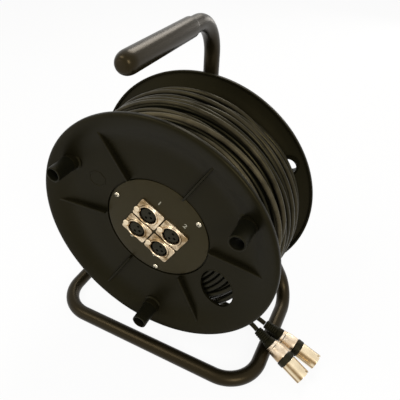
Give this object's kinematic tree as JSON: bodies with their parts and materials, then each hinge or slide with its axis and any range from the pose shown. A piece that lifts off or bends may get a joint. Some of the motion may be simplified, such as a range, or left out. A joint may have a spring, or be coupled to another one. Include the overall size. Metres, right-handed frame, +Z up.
{
  "type": "multicore cable drum",
  "caption": "Multicore audio cable drum: moulded flanged drum with chassis sockets in its hub, spinning on a bent-tube carry frame with hand grip, plug-ended cable tails at its foot.",
  "frame": {"origin": "centre of the stand's footprint at floor level, measured without the two loose cable tails and their plugs", "axes": "+Z up, +Y from the socket side to the back of the frame, +X to the right seen from the socket side"},
  "size_m": [0.3308, 0.1786, 0.3644],
  "materials": {
    "drum_plastic": "satin moulded plastic",
    "frame_tube": "glossy black powder coat on steel tube",
    "grip_plastic": "satin",
    "cable_sheath": "satin flexible sheath",
    "panel_metal": "satin black paint",
    "nickel": "warm satin nickel plate",
    "steel": "zinc-plated steel",
    "insert_plastic": "matt",
    "bush_metal": "sintered bronze",
    "plug_rubber": "matt",
    "plug_plastic": "satin"
  },
  "bodies": {
    "frame": {"base_loop": "frame_tube", "carry_tube": "frame_tube", "hand_grip": "grip_plastic", "hub_plate": "frame_tube", "axle": "steel", "spacer_sleeve": "steel", "rear_washer": "steel", "front_washer": "steel", "lock_nut": "steel", "cable_1_tail": "cable_sheath", "plug_1_boot": "plug_rubber", "plug_1_shell": "nickel", "plug_1_ring": "plug_plastic", "plug_1_barrel": "nickel", "plug_1_insert": "insert_plastic", "cable_2_tail": "cable_sheath", "plug_2_boot": "plug_rubber", "plug_2_shell": "nickel", "plug_2_ring": "plug_plastic", "plug_2_barrel": "nickel", "plug_2_insert": "insert_plastic"},
    "drum": {"front_flange": "drum_plastic", "rear_flange": "drum_plastic", "drum_barrel": "drum_plastic", "winding_core": "cable_sheath", "cable_1_winding": "cable_sheath", "cable_2_winding": "cable_sheath", "inner_lead_1": "cable_sheath", "inner_lead_2": "cable_sheath", "bearing_hub": "drum_plastic", "front_bush": "bush_metal", "rear_bush": "bush_metal", "socket_panel": "panel_metal", "foot_1": "drum_plastic", "foot_2": "drum_plastic", "foot_3": "drum_plastic", "panel_screw_1": "nickel", "panel_screw_2": "nickel", "panel_screw_3": "nickel", "hub_screw_1": "steel", "hub_screw_2": "steel", "hub_screw_3": "steel", "socket_1_shell": "nickel", "socket_1_insert": "insert_plastic", "socket_2_shell": "nickel", "socket_2_insert": "insert_plastic", "socket_3_shell": "nickel", "socket_3_insert": "insert_plastic", "socket_4_shell": "nickel", "socket_4_insert": "insert_plastic"},
    "latch_1": {"socket_1_latch": "nickel"},
    "latch_2": {"socket_2_latch": "nickel"},
    "latch_3": {"socket_3_latch": "nickel"},
    "latch_4": {"socket_4_latch": "nickel"}
  },
  "joints": [
    {"name": "drum_spin", "type": "hinge", "parent": "frame", "child": "drum", "pos_m": [0, 0.00274, 0.163], "axis": [0, 1, 0], "continuous": true},
    {"name": "latch_1_press", "type": "slide", "parent": "drum", "child": "latch_1", "axis": [0, 1, 0], "range_m": [0, 0.0015], "stiffness_N_per_m": 400, "springref_m": -0.0025},
    {"name": "latch_2_press", "type": "slide", "parent": "drum", "child": "latch_2", "axis": [0, 1, 0], "range_m": [0, 0.0015], "stiffness_N_per_m": 400, "springref_m": -0.0025},
    {"name": "latch_3_press", "type": "slide", "parent": "drum", "child": "latch_3", "axis": [0, 1, 0], "range_m": [0, 0.0015], "stiffness_N_per_m": 400, "springref_m": -0.0025},
    {"name": "latch_4_press", "type": "slide", "parent": "drum", "child": "latch_4", "axis": [0, 1, 0], "range_m": [0, 0.0015], "stiffness_N_per_m": 400, "springref_m": -0.0025}
  ]
}
